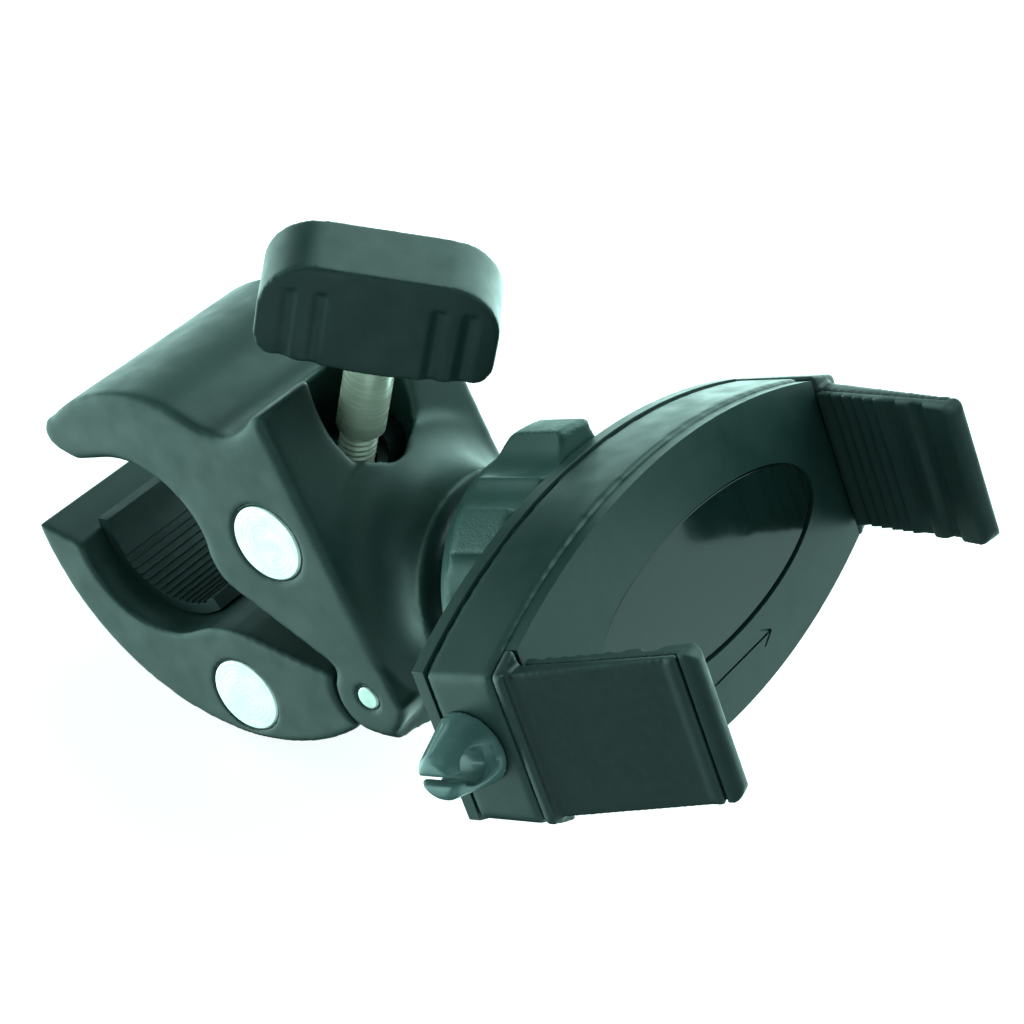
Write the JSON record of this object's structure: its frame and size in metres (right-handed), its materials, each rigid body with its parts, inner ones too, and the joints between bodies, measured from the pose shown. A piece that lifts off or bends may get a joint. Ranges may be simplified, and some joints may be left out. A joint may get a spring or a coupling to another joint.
{
  "type": "handlebar phone mount",
  "caption": "Handlebar phone mount: hinged clamp closed by a cross-barrel screw with a paddle knob, ball joint with lobed ring nut, sprung holder with a sliding leg.",
  "frame": {"origin": "on the axis of the bar that the clamp holds, at the middle of the jaws' width", "axes": "+X along the bar, +Y towards the phone holder, +Z along the clamp screw, towards its knob"},
  "size_m": [0.0941, 0.1306, 0.0852],
  "materials": {
    "clamp_plastic": "fine-grained satin glass-filled nylon, near black",
    "knob_plastic": "satin moulded plastic with a polished rim",
    "textured_plastic": "spark-eroded grain on the lobes, smooth valleys",
    "holder_plastic": "semi-gloss moulded ABS",
    "leg_plastic": "satin moulded plastic",
    "badge_gloss": "high gloss",
    "seat_plastic": "smooth acetal",
    "pad_rubber": "matt moulded rubber with ridges",
    "plated_steel": "turned and nickel plated",
    "spring_steel": "drawn wire",
    "polished_metal": "faced and polished, faint turning marks"
  },
  "bodies": {
    "clamp": {"clamp_body": "clamp_plastic", "upper_jaw_pad": "pad_rubber", "hinge_pin": "plated_steel", "ball_stud": "knob_plastic", "ball_screw": "plated_steel"},
    "jaw": {"lower_jaw": "clamp_plastic", "lower_jaw_pad": "pad_rubber"},
    "nut": {"barrel_nut": "polished_metal"},
    "trunnion": {"upper_trunnion": "polished_metal"},
    "screw": {"clamp_screw": "plated_steel", "knob": "knob_plastic"},
    "seat_front": {"ball_seat_front": "seat_plastic"},
    "seat_rear": {"ball_seat_rear": "seat_plastic"},
    "holder": {"back_plate": "holder_plastic", "housing": "holder_plastic", "front_cover": "holder_plastic", "badge": "badge_gloss", "fixed_leg": "leg_plastic", "fixed_leg_pad": "pad_rubber", "fixed_leg_screws": "plated_steel", "cover_screws": "plated_steel", "cord_clip": "holder_plastic"},
    "ring": {"ring_nut": "textured_plastic"},
    "slider": {"carriage": "seat_plastic", "sliding_leg": "leg_plastic", "sliding_leg_pad": "pad_rubber", "sliding_leg_screws": "plated_steel", "return_spring_left": "spring_steel", "return_spring_right": "spring_steel"}
  },
  "joints": [
    {"name": "jaw_hinge", "type": "hinge", "parent": "clamp", "child": "jaw", "pos_m": [0, 0.0439, -0.0008], "axis": [1, 0, 0], "range_deg": [-8.1, 22.2]},
    {"name": "nut_pivot", "type": "hinge", "parent": "jaw", "child": "nut", "pos_m": [0, 0.0225, -0.0162], "axis": [1, 0, 0], "range_deg": [-11.8, 4.4]},
    {"name": "trunnion_pivot", "type": "hinge", "parent": "clamp", "child": "trunnion", "pos_m": [0, 0.0225, 0.0163], "axis": [1, 0, 0], "range_deg": [-4, 10.8]},
    {"name": "knob_turn", "type": "hinge", "parent": "trunnion", "child": "screw", "pos_m": [0, 0.0225, 0.0163], "axis": [0, 0, 1], "range_deg": [-1076, 2958]},
    {"name": "holder_pitch", "type": "hinge", "parent": "clamp", "child": "seat_front", "pos_m": [0, 0.05934, 0.01946], "axis": [1, 0, 0], "range_deg": [-10, 10]},
    {"name": "holder_yaw", "type": "hinge", "parent": "seat_front", "child": "seat_rear", "pos_m": [0, 0.05934, 0.01946], "axis": [0, -0.5606, 0.8281], "range_deg": [-10, 10]},
    {"name": "holder_spin", "type": "hinge", "parent": "seat_rear", "child": "holder", "pos_m": [0, 0.05934, 0.01946], "axis": [0, 0.8281, 0.5606], "continuous": true},
    {"name": "ring_turn", "type": "hinge", "parent": "holder", "child": "ring", "pos_m": [0, 0.05934, 0.01946], "axis": [0, -0.8281, -0.5606], "range_deg": [0, 120]},
    {"name": "jaw_slide", "type": "slide", "parent": "holder", "child": "slider", "axis": [-1, 0, 0], "range_m": [0, 0.032], "stiffness_N_per_m": 120, "springref_m": -0.02, "deforming": ["return_spring_left", "return_spring_right"]}
  ],
  "couplings": [
    {"joint": "jaw_hinge", "follows": "knob_turn", "ratio": 0.0074372},
    {"joint": "nut_pivot", "follows": "knob_turn", "ratio": -0.0039045},
    {"joint": "trunnion_pivot", "follows": "knob_turn", "ratio": 0.0035326}
  ]
}
